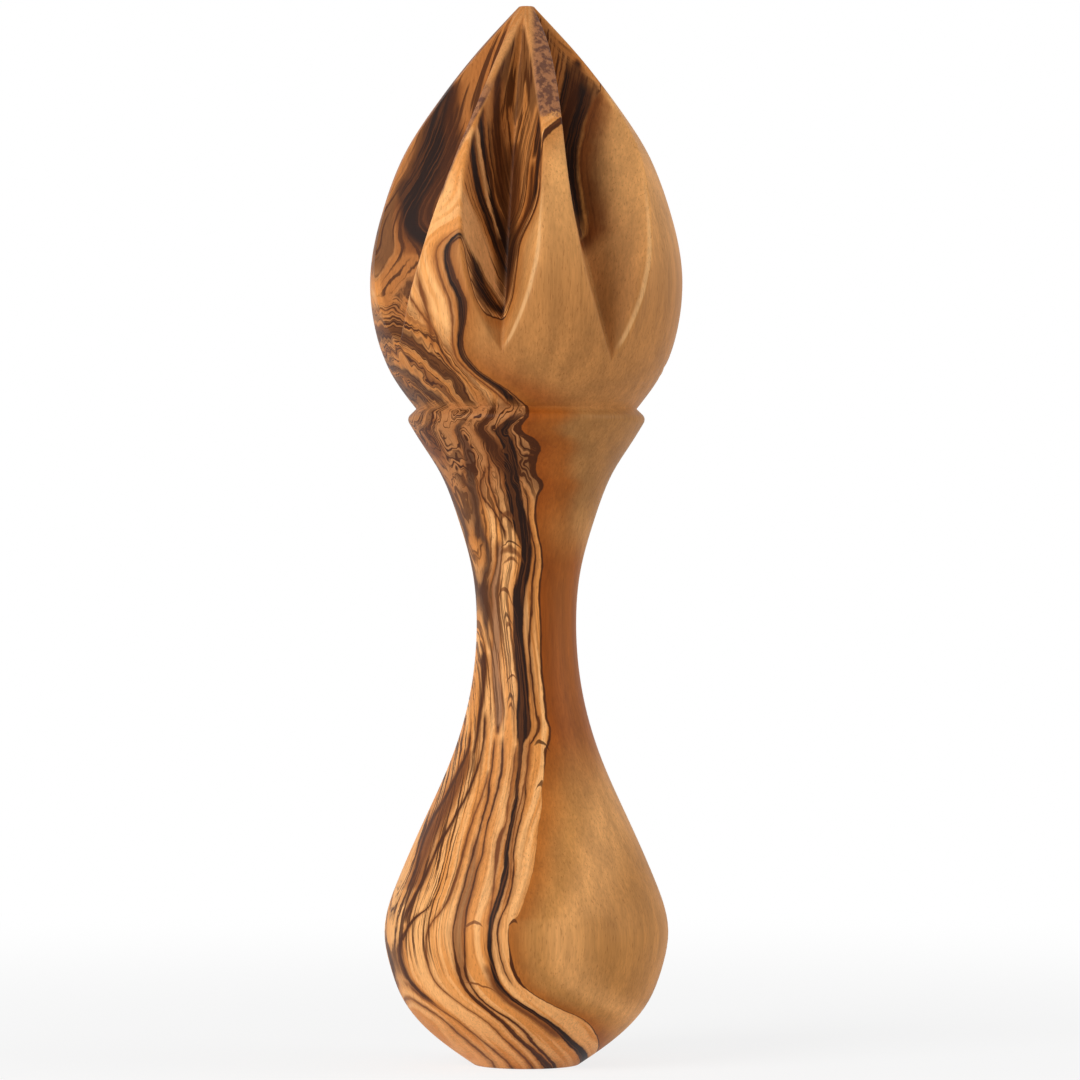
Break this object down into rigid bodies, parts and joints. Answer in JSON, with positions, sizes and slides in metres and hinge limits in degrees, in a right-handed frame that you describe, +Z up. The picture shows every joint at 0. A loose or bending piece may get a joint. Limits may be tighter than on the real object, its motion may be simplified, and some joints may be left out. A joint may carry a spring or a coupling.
{
  "type": "citrus reamer",
  "caption": "Hand-held citrus reamer turned and carved from solid olive wood: pointed head with V flutes, collar, slim waist and bulbed handle with a flat foot.",
  "frame": {"origin": "centre of the flat foot at the end of the handle, on the turning axis", "axes": "+Z up the turning axis from the foot to the tip of the head; -Y is the side that faces the viewer in the picture"},
  "size_m": [0.0428, 0.0428, 0.145],
  "materials": {
    "reamer": "olive wood, turned, sanded and oiled to a satin"
  },
  "bodies": {
    "root": {"reamer": "reamer"}
  },
  "joints": []
}
